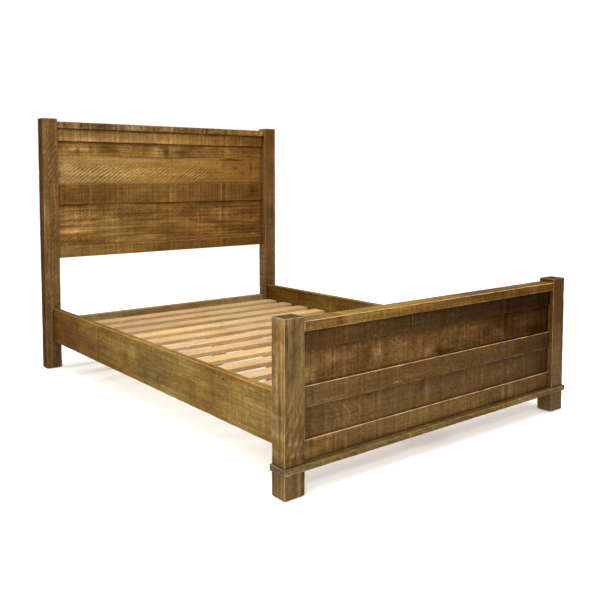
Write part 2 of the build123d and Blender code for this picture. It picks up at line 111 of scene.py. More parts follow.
def board(name, low, high, grain, edge=2.5 * MM, cell=8 * MM, cross=9 * MM, uneven=0.35 * MM,
          seams=(), marks=(), side_marks=(), sawn=None, shade_and_stain=(), extra=(), seed=0, shape=None):
    """A sawn board between two corners, with its grain along one axis.

    edge is the usual radius of the worn edges, uneven the depth of the surface's waves, and
    seams are (axis, place) of glue lines along the grain. marks and side_marks are lighter and
    darker places, in stops, seen from the front and from the side: mostly in the stain, and a few
    bands of painted shade under proud rails. sawn is where the slanting saw marks show. The
    corners given as (axis, place, reach) are darkened: painted shade where a neighbour stands
    proud, with some stain gathered there too. extra is (axis, place) of more grid lines. shape
    moves the points last.
    """
    rng = np.random.default_rng(seed)
    low, high = np.array(low, float), np.array(high, float)
    lines = []
    for axis in (X, Y, Z):
        added = [p + d for a, p in seams if a == axis for d in (-1.6 * MM, 0, 1.6 * MM)]
        added += [p for a, p in extra if a == axis]
        size = cell if axis == grain else cross
        lines.append(stations(low[axis], high[axis], edge, size, added))
    points, quads = shell(*lines)
    gaps = np.minimum(points - low, high - points)
    from_edge = np.sort(gaps, axis=1)[:, 1]

    warp = np.stack([ripple(points, 60 * MM, rng) for _ in range(3)], axis=-1) * 5 * MM
    paint = spots(points + warp, (X, Z), marks)
    paint += spots(points + 0.3 * warp, (Y, Z), side_marks) * (gaps[:, X] < 2 * MM)
    hatched = np.ones(len(points)) if sawn is None else spots(points + warp, (X, Z), sawn)
    # painted shade in the corners where a neighbour stands proud, with some stain gathered there too:
    # darker near each given place
    pooled_stain_and_shade = np.zeros(len(points))
    for axis, place, reach in shade_and_stain:
        pooled_stain_and_shade += np.exp(-np.abs(points[:, axis] - place) / reach)

    # the edges are worn round, more here and less there, with a chip now and then
    along = np.round((points - low) / (high - low)) * 0.31
    along[:, grain] = points[:, grain]
    radius = edge * (1 + 0.45 * ripple(along, 70 * MM, rng) + 0.3 * ripple(along, 21 * MM, rng))
    chip = np.clip(ripple(along, 33 * MM, rng) - 1.05, 0, 1)
    radius = np.clip(radius + 3.2 * edge * chip, 0.35 * edge, 2.1 * edge)[:, None]
    core = np.clip(points, low + radius, high - radius)
    away = points - core
    reach = np.linalg.norm(away, axis=1, keepdims=True)
    outward = away / np.maximum(reach, 1e-9)
    points = core + outward * radius

    # the saw leaves long shallow waves and a faint washboard across the grain
    depth = 0.6 * ripple(points, 160 * MM, rng) + 0.3 * ripple(points, 34 * MM, rng)
    washboard = np.sin(points[:, grain] * 2 * math.pi / (24 * MM) + 3 * ripple(points, 300 * MM, rng))
    depth = depth + 0.22 * washboard * np.clip(ripple(points, 220 * MM, rng) + 0.4, 0, 1)
    flat = np.clip(from_edge / (3 * edge), 0, 1)
    points = points + outward * (uneven * (depth - 0.6) * flat)[:, None]
    for axis, place in seams:
        near = np.exp(-((points[:, axis] - place) / (0.9 * MM)) ** 2) * flat
        points = points - outward * (0.7 * MM * near)[:, None]
    if shape:
        points = shape(points)

    mesh = bpy.data.meshes.new(name)
    mesh.from_pydata(points.tolist(), [], quads.tolist())
    mesh.polygons.foreach_set("use_smooth", [True] * len(quads))
    wear = np.exp(-from_edge / (2.4 * MM))
    for attribute, values in (("wear", wear), ("paint", paint), ("hatched", hatched),
                              ("shade_and_stain", np.clip(pooled_stain_and_shade, 0, 1))):
        mesh.attributes.new(attribute, "FLOAT", "POINT").data.foreach_set("value", values)
    mesh.validate()
    piece = bpy.data.objects.new(name, mesh)
    bpy.context.scene.collection.objects.link(piece)
    return piece


# ---------------------------------------------------------------- shader helpers
def rgb(red, green, blue):
    """A colour given as screen values from 0 to 255, as the linear values that shaders take."""
    values = [v / 255 for v in (red, green, blue)]
    return [v / 12.92 if v <= 0.04045 else ((v + 0.055) / 1.055) ** 2.4 for v in values] + [1.0]


class Graph:
    """A material's node tree, built by short calls. A socket given as a value is linked."""

    def __init__(self, name):
        self.material = bpy.data.materials.new(name)
        self.material.use_nodes = True
        self.tree = self.material.node_tree
        self.tree.nodes.clear()

    def put(self, kind, inputs, output=0, **settings):
        node = self.tree.nodes.new("ShaderNode" + kind)
        for key, value in settings.items():
            setattr(node, key, value)
        for key, value in inputs.items():
            if isinstance(value, bpy.types.NodeSocket):
                self.tree.links.new(value, node.inputs[key])
            else:
                node.inputs[key].default_value = value
        return node.outputs[output]

    def math(self, operation, a, b=0.0, c=0.0, clamp=False):
        return self.put("Math", {0: a, 1: b, 2: c}, operation=operation, use_clamp=clamp)

    def add(self, *terms):
        """The sum of terms, each a value, a socket or a (socket, factor) pair."""
        total = 0.0
        for term in terms:
            socket, factor = term if isinstance(term, tuple) else (term, 1.0)
            total = self.math("MULTIPLY_ADD", socket, factor, total)
        return total

    def split(self, vector):
        node = self.tree.nodes.new("ShaderNodeSeparateXYZ")
        self.tree.links.new(vector, node.inputs[0])
        return node.outputs

    def join(self, x, y, z):
        return self.put("CombineXYZ", {0: x, 1: y, 2: z})

    def attribute(self, name):
        return self.put("Attribute", {}, output="Fac", attribute_name=name)

    def noise(self, vector, stretch, detail=3.0, rough=0.55, warp=0.0):
        """Noise about 0, from about -0.5 to 0.5, with its own scale along each axis."""
        place = self.put("VectorMath", {0: vector, 1: stretch}, operation="MULTIPLY")
        value = self.put("TexNoise", {"Vector": place, "Scale": 1.0, "Detail": detail,
                                      "Roughness": rough, "Distortion": warp})
        return self.math("SUBTRACT", value, 0.5)

    def line_noise(self, place, scale, detail=1.0):
        value = self.put("TexNoise", {"W": place, "Scale": scale, "Detail": detail},
                         noise_dimensions="1D")
        return self.math("SUBTRACT", value, 0.5)

    def span(self, value, low, high, to_low=0.0, to_high=1.0):
        """Maps low..high smoothly to to_low..to_high."""
        return self.put("MapRange", {"Value": value, 1: low, 2: high, 3: to_low, 4: to_high},
                        interpolation_type="SMOOTHSTEP")

    def mix(self, factor, a, b):
        return self.put("Mix", {0: factor, 6: a, 7: b}, output=2, data_type="RGBA")

    def ramp(self, value, colours, places=None):
        """Colours along 0..1, evenly spaced unless places are given."""
        node = self.tree.nodes.new("ShaderNodeValToRGB")
        elements = node.color_ramp.elements
        while len(elements) < len(colours):
            elements.new(0.5)
        places = places or np.linspace(0, 1, len(colours))
        for element, place, colour in zip(elements, places, colours):
            element.position = place
            element.color = rgb(*colour)
        self.tree.links.new(value, node.inputs[0])
        return node.outputs[0]

    def brighten(self, colour, stops):
        """colour made lighter or darker by stops: each one doubles or halves its light."""
        gain = self.math("POWER", 2.0, stops)
        return self.put("VectorMath", {0: colour, "Scale": gain}, operation="SCALE")

    def finish(self, base, rough, height=None, bump=0.5, depth=0.4 * MM, **constants):
        """The surface: base colour, roughness, bump from height, and constants on its sockets."""
        inputs = {"Base Color": base, "Roughness": rough}
        if height is not None:
            inputs["Normal"] = self.put("Bump", {"Height": height, "Strength": bump,
                                                 "Distance": depth})
        inputs.update(constants)
        shader = self.put("BsdfPrincipled", inputs)
        result = self.tree.nodes.new("ShaderNodeOutputMaterial")
        self.tree.links.new(shader, result.inputs["Surface"])
        return self.material


# ---------------------------------------------------------------- materials
def bend_round_knots(g, place, along, across, knots):
    """The fibres' place across the board, bent round each knot, and the knots' eyes and halos."""
    bent, eye, halo = across, 0.0, 0.0
    for knot_along, knot_across, radius in knots:
        a = g.math("MULTIPLY", g.math("SUBTRACT", along, knot_along * MM), 0.7)
        c = g.math("SUBTRACT", across, knot_across * MM)
        rough_edge = g.noise(place, (40.0, 40.0, 40.0), detail=2.0)
        distance = g.math("SQRT", g.add(g.math("MULTIPLY", a, a), g.math("MULTIPLY", c, c)))
        distance = g.math("DIVIDE", distance, radius * MM)
        distance = g.add(distance, (rough_edge, 0.8))
        pull = g.span(distance, 0.6, 4.0, 0.55, 0.0)
        bent = g.math("SUBTRACT", bent, g.math("MULTIPLY", c, pull))
        eye = g.math("MAXIMUM", g.span(distance, 0.6, 1.15, 1.0, 0.0), eye)
        halo = g.math("MAXIMUM", g.span(distance, 0.9, 3.2, 1.0, 0.0), halo)
    return bent, eye, halo


def straight_lines(g, local, along):
    """Straight lines that a band saw leaves across the grain, stronger in some stretches."""
    bow = g.noise(local, (2.0, 7.0, 1.0), detail=0.0)
    track = g.add((bow, 0.012), along)
    lines = g.add(g.line_noise(track, 34.0), (g.line_noise(track, 95.0), 1.1),
                  (g.line_noise(track, 230.0), 0.6))
    patch = g.span(g.noise(local, (6.0, 14.0, 2.0), detail=2.0), -0.16, 0.14, 0.35, 1.0)
    return g.math("MULTIPLY", lines, patch)


def slanting_dashes(g, local, along, across, lean, pitch):
    """Slanting dashes that a circular saw leaves, and how clearly they show at each place."""
    lean = math.radians(lean)
    sway = g.noise(local, (7.0, 9.0, 1.0), detail=1.0)
    phase = g.add((along, -math.sin(lean) / pitch), (across, math.cos(lean) / pitch), (sway, 1.3))
    wave = g.math("SINE", g.math("MULTIPLY", phase, 2 * math.pi))
    strength = g.math("ADD", g.line_noise(phase, 0.9), 0.5)
    patch = g.span(g.noise(local, (26.0, 34.0, 2.0), detail=1.0), -0.2, 0.12, 0.1, 1.0)
    shown = g.math("MULTIPLY", g.math("MULTIPLY", patch, strength), g.attribute("hatched"))
    return g.math("MULTIPLY", g.span(wave, -0.4, 0.95), shown), shown


def flames(g, local, along, across, tips, heart):
    """The pointed growth rings of a flat-cut board."""
    drift = g.noise(local, (2.2, 9.0, 3.0), detail=2.0)
    off = g.math("MULTIPLY", g.math("SUBTRACT", across, heart * MM), 21.0)
    phase = g.add((along, tips), g.math("MULTIPLY", off, off), (drift, 3.2))
    ring = g.span(g.math("PINGPONG", phase, 0.5), 0.0, 0.16, 1.0, 0.0)
    return g.math("MULTIPLY", ring, g.attribute("hatched"))


def tinted(g, colour, *shares):
    """colour with its red, green and blue each scaled."""
    return g.put("VectorMath", {0: colour, 1: shares}, operation="MULTIPLY")


def wood(name, grain, face, ends, tones, seed, saw=0.9, hatch=0.0, lean=45, pitch=14 * MM,
         blotch=0.9, streaks=0.7, rings=0.0, tips=20.0, heart=0.0, knots=(), wear=0.7,
         bare=(168, 134, 84), sides=0.0, side_tint=(1.0, 1.0, 1.0), sheen=0.02, grit=1.0,
         fade=0.1, depth=-0.85):
    """Stained, rough-sawn softwood. Strengths are in stops.

    grain is the axis the fibres follow and face the one that the board's face looks along.
    tones are the stain's colours from one end of the board to the other, and ends where those
    ends are. saw is the straight saw lines across the grain. hatch is the slanting ones, which
    lean by so many degrees and lie pitch apart: dark ones, or light ones where it is negative.
    rings are the flames of a flat-cut board, with tips a metre and their middle at heart. knots
    are (along, across, radius) in mm. The narrow faces can be made lighter or darker than the
    front by so many stops, and tinted: painted light and shade of those faces. grit makes the
    finest grain stronger. wear is how much of the edges is rubbed down to the pale wood, more on
    edges that face up, which also paints their highlight. The tones are as they look in the
    light, and on some boards they hold painted shade towards one end: depth is how much darker
    the stain itself is, and fade is how far it turns from red to yellow where it lies thin.
    """
    g = Graph(name)
    rng = np.random.default_rng(seed)
    place = g.put("TexCoord", {}, output="Object")
    across = 3 - grain - face
    axes = g.split(place)
    along_board, across_board, into = axes[grain], axes[across], axes[face]
    shift = rng.uniform(-9, 9, 3).tolist()
    bent, eye, halo = bend_round_knots(g, place, along_board, across_board, knots)
    local = g.put("VectorMath", {0: g.join(along_board, bent, into), 1: shift}, operation="ADD")

    cloud = g.noise(local, (4.0, 9.0, 9.0), detail=4.0, rough=0.6, warp=0.3)
    streak = g.noise(local, (2.6, 75.0, 75.0), detail=4.0, rough=0.62)
    fibre = g.noise(local, (22.0, 640.0, 640.0), detail=3.0, rough=0.65)
    mottle = g.noise(local, (55.0, 100.0, 100.0), detail=3.0, rough=0.65)
    speck = g.noise(local, (160.0, 260.0, 260.0), detail=2.0, rough=0.6)
    tint = g.noise(local, (2.2, 6.0, 6.0), detail=3.0)
    tone = g.add(depth, (cloud, 2.6 * blotch), (streak, 2.2 * streaks), (fibre, 0.9 * grit),
                 (mottle, 1.3 * grit), (speck, 0.8 * grit))
    height = g.add((fibre, 0.5), (streak, 0.7), (mottle, 0.5), (speck, 0.25))
    if saw:
        lines = straight_lines(g, local, along_board)
        tone = g.add(tone, (lines, 1.5 * saw))
        height = g.add(height, (lines, 1.1 * saw))
    if hatch:
        dashes, shown = slanting_dashes(g, local, along_board, across_board, lean, pitch)
        tone = g.add(tone, (dashes, -1.5 * hatch), (shown, 0.45 * hatch))
        height = g.add(height, (dashes, -1.3 * abs(hatch)))
    if rings:
        ring = flames(g, local, along_board, bent, tips, heart)
        tone = g.add(tone, (ring, rings))
        height = g.add(height, (ring, 0.4))
    if knots:
        tone = g.add(tone, (eye, -1.5), (halo, -0.3))
        height = g.add(height, (eye, -0.5))
    # the marks, and the corner darkening of 1.5 stops: painted shade where a neighbour stands proud,
    # with some stain gathered there
    tone = g.add(tone, g.attribute("paint"), (g.attribute("shade_and_stain"), -1.5))

    # the stain's colour drifts a little, and pools purple in the dark saw marks
    low_end, high_end = ends
    reach = g.math("DIVIDE", g.math("SUBTRACT", along_board, low_end), high_end - low_end)
    stain = g.ramp(reach, tones)
    warmer, greener = tinted(g, stain, 1.03, 0.98, 0.92), tinted(g, stain, 0.96, 1.0, 1.04)
    colour = g.mix(g.span(tint, -0.12, 0.12), warmer, greener)
    if hatch > 0:
        purple = tinted(g, colour, 0.97, 0.92, 1.3)
        colour = g.mix(g.math("MULTIPLY", dashes, 0.9, clamp=True), colour, purple)
    normal = g.split(g.put("TexCoord", {}, output="Normal"))
    # painted light and shade: the narrow faces (a post's side faces, a cap's top) are made lighter or
    # darker than the front and tinted, as the light falls on them
    if sides or side_tint != (1.0, 1.0, 1.0):
        aside = g.span(g.math("ABSOLUTE", normal[across]), 0.5, 0.85)
        tone = g.add(tone, (aside, sides))
        colour = g.mix(aside, colour, tinted(g, colour, *side_tint))
    thin = g.math("SUBTRACT", tone, depth)
    turned = [g.math("POWER", 2.0, g.math("MULTIPLY", thin, fade * share))
              for share in (-1.0, 0.3, 2.0)]
    colour = g.put("VectorMath", {0: colour, 1: g.join(*turned)}, operation="MULTIPLY")
    colour = g.brighten(colour, tone)

    # end grain drinks more stain
    end = g.span(g.math("ABSOLUTE", normal[grain]), 0.75, 0.92)
    pores = g.noise(place, (420.0, 420.0, 420.0), detail=2.0)
    end_colour = g.brighten(stain, g.add((pores, 1.6), (cloud, 1.5), depth - 1.1))
    colour = g.mix(end, colour, end_colour)

    # stain rubbed off the edges that hands and cloths reach, in broken stretches, and more on edges
    # that face up: partly wear, partly a painted highlight where the light catches them
    rub = g.noise(local, (16.0, 60.0, 60.0), detail=4.0, rough=0.65)
    up_facing_wear_and_highlight = g.span(normal[Z], -0.5, 0.3, 0.15, 1.0)
    rub = g.add((g.attribute("wear"), 1.1), (rub, 1.4), -0.3)
    rub = g.math("MULTIPLY", g.span(rub, 0.0, 0.6), g.math("MULTIPLY", up_facing_wear_and_highlight, wear), clamp=True)
    colour = g.mix(rub, colour, rgb(*bare))

    rough = g.span(g.add((streak, 0.6), (cloud, 0.4)), -0.2, 0.2, 0.52, 0.72)
    return g.finish(colour, rough, height, bump=0.6, depth=1.1 * MM,
                    **{"Specular IOR Level": sheen})


def steel(name, seed):
    """Zinc-plated steel: pale, faintly blotched, brighter where it is rubbed."""
    g = Graph(name)
    place = g.put("TexCoord", {}, output="Object")
    place = g.put("VectorMath", {0: place, 1: (seed, seed, seed)}, operation="ADD")
    bloom = g.noise(place, (60.0, 60.0, 60.0), detail=4.0, rough=0.7)
    scratch = g.noise(place, (900.0, 900.0, 60.0), detail=2.0)
    colour = g.ramp(g.math("ADD", bloom, 0.5), ((150, 152, 150), (178, 180, 180), (205, 203, 190)),
                    (0.3, 0.5, 0.75))
    rough = g.span(g.add(bloom, scratch), -0.3, 0.3, 0.26, 0.5)
    return g.finish(colour, rough, scratch, bump=0.15, depth=0.1 * MM, Metallic=1.0)


def nylon(name):
    """Black moulded nylon with a fine pebbled skin."""
    g = Graph(name)
    place = g.put("TexCoord", {}, output="Object")
    pebble = g.noise(place, (1400.0, 1400.0, 1400.0), detail=2.0)
    scuff = g.noise(place, (120.0, 120.0, 120.0), detail=4.0)
    colour = g.ramp(g.math("ADD", scuff, 0.5), ((26, 25, 24), (52, 50, 47)), (0.35, 0.75))
    return g.finish(colour, g.span(scuff, -0.2, 0.3, 0.45, 0.7), pebble, bump=0.3,
                    depth=0.1 * MM)


def dress(piece, node, material):
    """Gives a finished piece its material, hides its CAD node, and hangs the piece on the bed's body.
    """
    piece.data.materials.append(material)
    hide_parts(node)
    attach(piece, "bed")


def top_of(node):
    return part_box(node)[1].z


def bottom_of(node):
    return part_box(node)[0].z


def cross_board(node, seed, tones, low_z=None, high_z=None, edge=2.4 * MM, marks=(), sawn=None,
                shade_and_stain=(), extra=(), shape=None, **looks):
    """A board between two posts: the part of its CAD node's box that shows."""
    low, high = (np.array(corner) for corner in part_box(node))
    low[X], high[X] = -post_inner - tuck, post_inner + tuck
    low[Z] = low[Z] if low_z is None else low_z
    high[Z] = high[Z] if high_z is None else high_z
    # both ends by the posts, and the given heights, are darkened: painted shade where the posts and
    # rails stand proud, with some stain gathered there
    corners = [(X, side * post_inner, 3 * MM) for side in (-1, 1)]
    corners += [(Z, place, reach) for place, reach in shade_and_stain]
    piece = board("sawn_" + node, low, high, X, edge=edge, cell=7 * MM, marks=marks, sawn=sawn,
                  shade_and_stain=corners, extra=extra, shape=shape, seed=seed)
    dress(piece, node, wood(node, X, Y, (-post_inner, post_inner), tones, seed, **looks))


# ---- headboard, from the top down. Marks are (x, z, half width, half height, stops).
upper_joint = bottom_of("headboard_upper_board")
lower_joint = bottom_of("headboard_lower_board_a")
# the upper joint as it was cut: (x, height above the straight line) in mm
joint_line = ((-755, 3), (-500, 6), (-350, -1), (-150, -4), (0, -5), (150, 0), (320, 4),
              (500, 9), (755, 8))
check_x, check_z, check_half_long, check_half_wide = 500, 1219, 95, 4.5
check_deep = 9 * MM


def wander(points):
    """Moves the joint between the two upper boards up and down, as the boards were cut."""
    points = points.copy()
    offset = np.interp(points[:, X] / MM, *zip(*joint_line)) * MM
    near = np.clip(1 - np.abs(points[:, Z] - upper_joint) / (40 * MM), 0, 1)
    points[:, Z] += offset * near
    return points


def split_open(points):
    """The same joint, and a long check that has opened in the front of the board below it."""
    points = wander(points)
    a = (points[:, X] / MM - check_x) / check_half_long
    b = (points[:, Z] / MM - check_z - 4 * a) / check_half_wide
    front = points[:, Y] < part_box("headboard_centre_board")[0].y + 4 * MM
    points[:, Y] += check_deep * np.exp(-(a ** 4) - b ** 2) * front
    return points


def finer(*heights):
    """More grid lines at these heights in mm, where a board has thin marks."""
    return [(Z, height * MM) for height in heights]


cross_board("headboard_cap", 11, ((127, 99, 65), (118, 93, 55), (114, 84, 45), (156, 119, 62)),
            saw=1.3, blotch=1.2, wear=0.35, grit=1.8, marks=(
                (-699, 1406, 10, 14, -1.1), (-600, 1408, 12, 12, -1.4), (-650, 1406, 25, 14, 0.4),
                (-461, 1406, 90, 20, -0.5), (-262, 1410, 90, 16, 0.8), (-113, 1406, 30, 16, -0.7),
                (2, 1408, 35, 14, 0.9), (136, 1403, 110, 18, -0.4), (277, 1406, 6, 24, -2.0),
                (315, 1406, 30, 14, 0.4), (394, 1408, 10, 12, 0.4), (683, 1406, 40, 14, 0.3)))
# the first mark, a dark line along its top just under the cap, is painted shadow, and so is the
# corner darkening there
cross_board("headboard_top_rail", 12, ((147, 112, 67), (150, 113, 63), (144, 105, 51),
                                       (112, 73, 28)),
            saw=1.1, blotch=1.2, wear=0.3, shade_and_stain=((top_of("headboard_top_rail"), 8 * MM),),
            extra=finer(1380, 1384), marks=(
                (0, 1388, 900, 5, -0.9),
                (-720, 1360, 14, 12, -0.5), (-560, 1362, 18, 12, -0.35), (0, 1330, 900, 9, 0.3),
                (560, 1362, 130, 7, -0.4), (650, 1345, 80, 6, -0.5)))
cross_board("headboard_upper_board", 31, ((138, 104, 58), (140, 106, 55), (134, 96, 44),
                                          (127, 87, 36)),
            low_z=upper_joint, high_z=bottom_of("headboard_top_rail") + tuck, edge=1.6 * MM,
            shape=wander, saw=0.4, blotch=1.5, streaks=1.6, hatch=1.3, lean=118, pitch=18 * MM,
            wear=0.1, grit=1.6, sawn=((267, 1276, 270, 40, 1.0), (-395, 1281, 200, 30, 0.3)),
            shade_and_stain=((bottom_of("headboard_top_rail"), 3 * MM), (upper_joint, 2 * MM)),
            marks=(
                (-12, 1264, 22, 20, -0.9), (-45, 1292, 20, 10, -0.6), (604, 1272, 12, 9, -0.8),
                (588, 1262, 10, 8, 0.5), (640, 1240, 12, 12, -0.8), (-651, 1276, 22, 18, 0.55),
                (-571, 1270, 24, 22, 0.6), (-500, 1265, 24, 22, 0.6),
                (-335, 1276, 24, 10, 0.45), (-285, 1265, 30, 20, 0.2), (-89, 1276, 32, 28, 0.8),
                (176, 1262, 60, 8, 0.3), (708, 1270, 60, 30, 0.15), (-616, 1255, 14, 20, -0.5),
                (-535, 1281, 14, 30, -0.4), (-425, 1270, 50, 25, -0.45), (-14, 1281, 28, 22, -0.5),
                (-195, 1286, 60, 20, -0.3), (106, 1262, 60, 10, -0.4), (337, 1270, 40, 30, -0.3)))
cross_board("headboard_centre_board", 32, ((166, 132, 81), (168, 132, 73), (148, 110, 54),
                                           (126, 86, 35)),
            low_z=top_of("headboard_middle_rail") - tuck, high_z=upper_joint, edge=1.6 * MM,
            shape=split_open, saw=0.25, blotch=0.7, streaks=0.7, hatch=1.7, lean=35,
            pitch=18 * MM, wear=0.15, grit=1.3,
            extra=finer(*range(1208, 1227, 3)),
            sawn=((-596, 1130, 180, 62, 1.0), (-325, 1125, 160, 60, 0.9),
                  (-54, 1130, 150, 60, 0.7), (236, 1125, 190, 60, 1.0), (567, 1095, 160, 30, 0.6)),
            shade_and_stain=((top_of("headboard_middle_rail"), 2 * MM),),
            marks=(
                (528, 1164, 32, 9, -0.9), (584, 1140, 22, 11, -0.9), (-731, 1130, 12, 18, -0.9),
                (-721, 1185, 8, 16, -0.4), (-596, 1170, 40, 30, -0.35),
                (-515, 1165, 30, 28, -0.35), (-285, 1160, 28, 22, -0.35), (-64, 1190, 20, 12, -0.3),
                (21, 1212, 6, 14, -1.2), (437, 1180, 26, 12, -0.5), (658, 1170, 8, 50, -0.8),
                (-395, 1130, 120, 40, 0.15), (56, 1140, 120, 40, 0.2), (507, 1217, 90, 5, -1.2)))
cross_board("headboard_middle_rail", 13, ((116, 82, 42), (118, 86, 43), (128, 92, 43),
                                          (117, 81, 37), (104, 66, 27)),
            saw=1.0, blotch=1.0, wear=0.3, marks=(
                (-700, 1000, 30, 22, -0.7), (-660, 1050, 40, 8, 0.4), (665, 1010, 45, 28, -0.8),
                (-60, 1035, 110, 18, 0.3), (600, 953, 120, 6, 0.5)))
cross_board("headboard_lower_board_a", 33, ((136, 100, 52), (134, 98, 48), (126, 88, 40),
                                            (116, 76, 32)),
            low_z=lower_joint, high_z=bottom_of("headboard_middle_rail") + tuck, edge=1.6 * MM,
            saw=0.8, hatch=0.9, lean=36, pitch=15 * MM, wear=0.15, streaks=2.0, blotch=1.4, grit=1.4,
            extra=finer(819, 822, 826, *range(848, 865, 4)),
            shade_and_stain=((bottom_of("headboard_middle_rail"), 3 * MM),), marks=(
                (-640, 905, 100, 20, -0.3), (-620, 856, 120, 9, -0.9), (-640, 832, 120, 10, 0.6),
                (-650, 819, 110, 4, -0.6), (660, 900, 90, 25, -0.2), (650, 860, 110, 8, -0.6),
                (640, 822, 110, 5, 0.5)))
cross_board("headboard_lower_board_b", 34, ((140, 103, 54), (136, 100, 50), (128, 90, 42),
                                            (118, 79, 33)),
            low_z=top_of("headboard_bottom_rail") - tuck, high_z=lower_joint, edge=1.6 * MM,
            saw=0.4, hatch=1.3, lean=34, pitch=16 * MM, wear=0.15, streaks=2.0, blotch=1.4, grit=1.4,
            sawn=((-600, 735, 300, 32, 1.0), (300, 760, 500, 40, 0.8)), marks=(
                (-640, 790, 120, 16, 0.7), (-630, 730, 120, 18, -0.9), (640, 785, 120, 16, 0.4),
                (650, 735, 120, 16, -0.6)))
cross_board("headboard_bottom_rail", 14, ((136, 102, 55), (130, 95, 48), (118, 82, 38),
                                          (98, 62, 26)),
            saw=0.8, wear=0.5, marks=((-560, 680, 40, 10, 0.3), (-705, 660, 10, 24, -0.4)))
cross_board("headboard_beam_rail", 15, ((150, 118, 72), (160, 126, 78)), saw=0.4, wear=0.2)

# ---- footboard, from the top down
# The footboard's tones darken towards its right end: partly the stain, partly painted shade where the
# light falls off. The cap's top face is made lighter and yellower than its front, which is painted
# light, and its edge facing up is rubbed bright, partly wear and partly a painted highlight.
cross_board("footboard_cap", 16, ((104, 76, 43), (134, 99, 46), (120, 84, 37), (101, 66, 24),
                                  (108, 72, 26)),
            saw=0.6, blotch=1.3, streaks=1.3, wear=0.75, bare=(200, 162, 106), grit=1.6,
            sides=0.2, side_tint=(1.0, 1.05, 0.85), marks=(
                (-590, 588, 9, 22, -1.0), (-545, 588, 22, 16, 0.3), (-700, 588, 60, 20, -0.1),
                (-200, 588, 130, 20, 0.35),
                (150, 585, 120, 20, -0.25), (430, 590, 60, 12, 0.45), (370, 585, 25, 16, -0.4),
                (480, 585, 25, 16, -0.35), (590, 590, 40, 14, 0.5), (650, 585, 20, 16, -0.5),
                (720, 588, 25, 18, -0.7)))
# its tones fall to near black at the right end: painted shadow under the cap, partly its darker stain
cross_board("footboard_top_rail", 17, ((90, 63, 36), (77, 54, 30), (68, 47, 26), (50, 33, 20),
                                       (37, 22, 12)),
            saw=0.7, blotch=0.8, streaks=0.6, wear=0.7, bare=(122, 92, 58), sheen=0.0,
            depth=-0.75, grit=1.4,
            shade_and_stain=((top_of("footboard_top_rail"), 3 * MM),), marks=(
                (-200, 535, 4, 40, -1.2), (-192, 535, 3, 40, 0.7), (40, 541, 20, 5, 0.5),
                (550, 515, 5, 20, 0.6)))
# the first mark, a dark band along its top under the top rail, is painted shade
cross_board("footboard_upper_panel", 35, ((124, 93, 54), (126, 94, 54), (118, 85, 47),
                                          (90, 60, 31), (67, 40, 19)),
            low_z=top_of("footboard_middle_rail") - tuck,
            high_z=bottom_of("footboard_top_rail") + tuck, edge=1.4 * MM,
            saw=0.9, blotch=1.3, streaks=0.6, wear=0.1, sheen=0.0, depth=-1.25, grit=1.7,
            shade_and_stain=((top_of("footboard_middle_rail"), 1.5 * MM),),
            marks=(
                (0, 491, 1600, 14, -0.6), (-600, 458, 32, 18, 0.75), (-715, 416, 25, 50, 0.3),
                (-524, 446, 22, 14, 0.5), (-544, 416, 40, 25, 0.2), (-383, 436, 28, 36, 0.8),
                (-257, 436, 20, 36, 0.7), (-293, 426, 12, 30, 0.35), (-222, 441, 14, 30, 0.45),
                (-147, 436, 20, 30, 0.45), (-91, 408, 22, 30, 0.75), (-61, 426, 20, 22, 0.45),
                (-16, 451, 20, 14, 0.3), (34, 431, 40, 24, 0.2), (110, 411, 7, 35, 0.8),
                (248, 426, 14, 30, 0.4), (346, 436, 20, 20, 0.5), (381, 426, 22, 22, 0.55),
                (578, 444, 25, 8, 0.7), (537, 426, 40, 30, 0.25), (-650, 401, 45, 22, -0.6),
                (-434, 446, 14, 34, -0.5), (-328, 426, 10, 30, -0.3), (-177, 436, 8, 35, -0.5),
                (8, 388, 58, 12, -1.4), (-28, 397, 20, 14, -1.0), (282, 428, 22, 24, -0.7),
                (457, 436, 50, 50, -0.4), (668, 398, 120, 20, -0.7)))
# its edge facing up is rubbed to a bright colour: partly wear, partly a painted highlight on the
# ledge
cross_board("footboard_middle_rail", 18, ((107, 82, 49), (104, 78, 43), (101, 73, 39),
                                          (92, 64, 31), (62, 42, 19)),
            saw=0.6, blotch=0.5, streaks=0.6, wear=0.85, bare=(192, 160, 114), depth=-0.8,
            grit=1.6, extra=finer(*range(306, 322, 3)), marks=(
                (-710, 352, 35, 20, -0.4), (-600, 335, 12, 20, -0.2), (-560, 311, 200, 7, 0.2),
                (-292, 314, 15, 3, 1.3), (-275, 318, 17, 3, 1.8), (-255, 314, 15, 3, 1.3),
                (520, 335, 60, 25, -0.3), (640, 309, 60, 4, 0.5),
                (715, 340, 25, 34, -0.5)))
